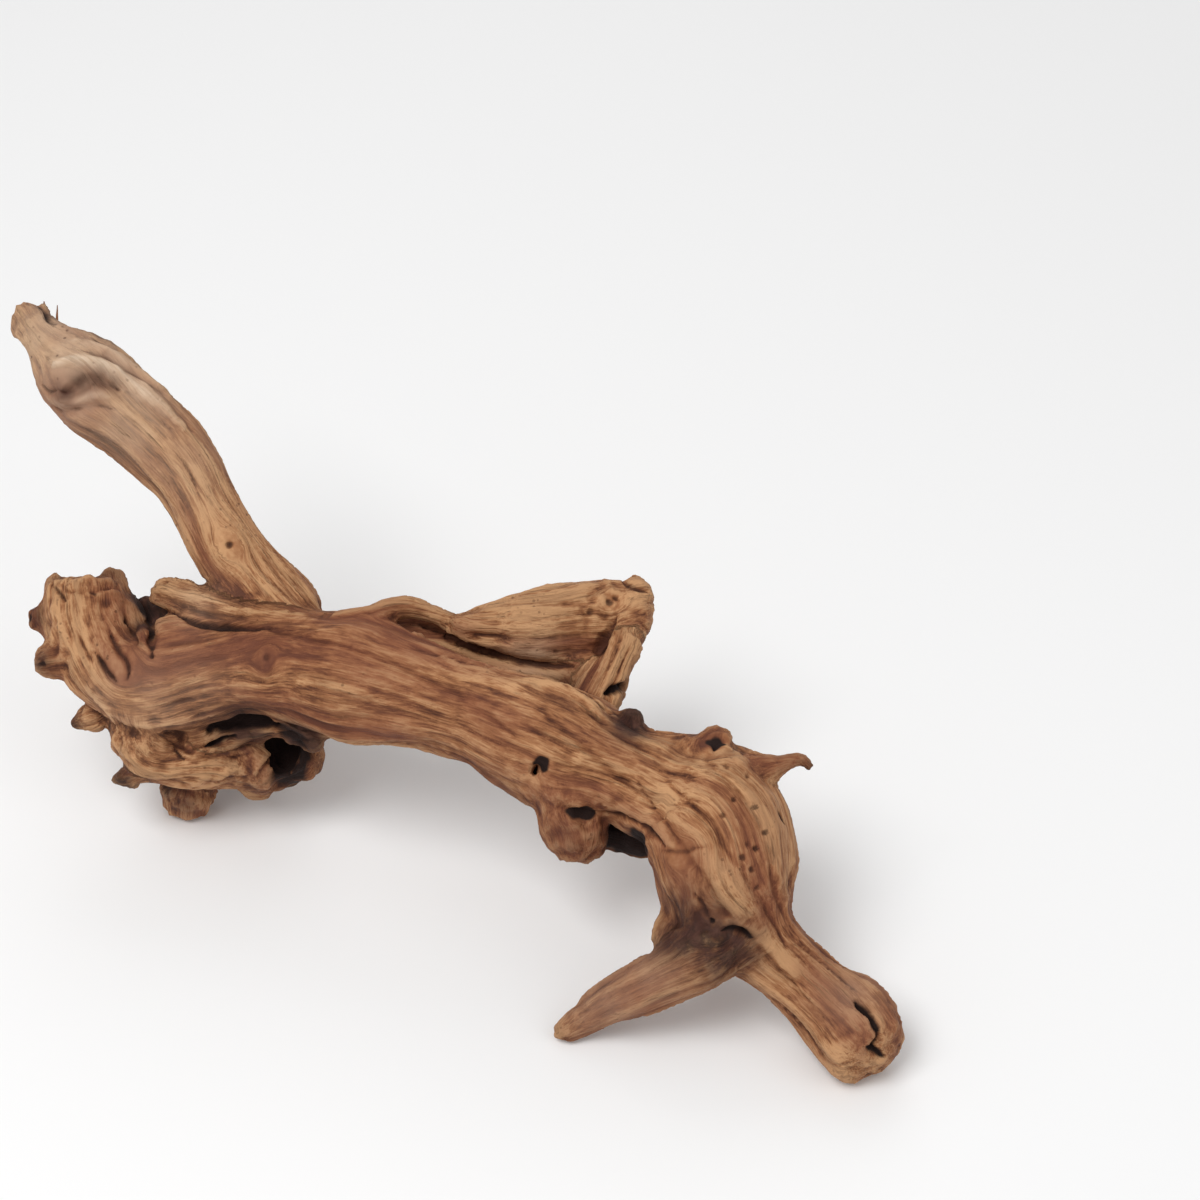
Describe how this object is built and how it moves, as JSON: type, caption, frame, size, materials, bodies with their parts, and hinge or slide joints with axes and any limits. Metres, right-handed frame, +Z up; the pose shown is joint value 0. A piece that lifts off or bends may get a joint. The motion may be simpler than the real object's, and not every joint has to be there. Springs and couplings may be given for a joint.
{
  "type": "piece of driftwood",
  "caption": "Weathered root of driftwood: a sloping trunk with a gnarled burl, a rising arm, a fin over a deep slot, and a split foot; lies on its low knobs.",
  "frame": {"origin": "on the floor, under the centre of the bounding box", "axes": "+X to the right, from the burl towards the split foot; +Y away from the viewer, towards the fin and the arm; +Z up"},
  "size_m": [0.2328, 0.1723, 0.1227],
  "materials": {
    "weathered_wood": "matt, sun-bleached and water-worn"
  },
  "bodies": {
    "root": {"driftwood": "weathered_wood"}
  },
  "joints": []
}
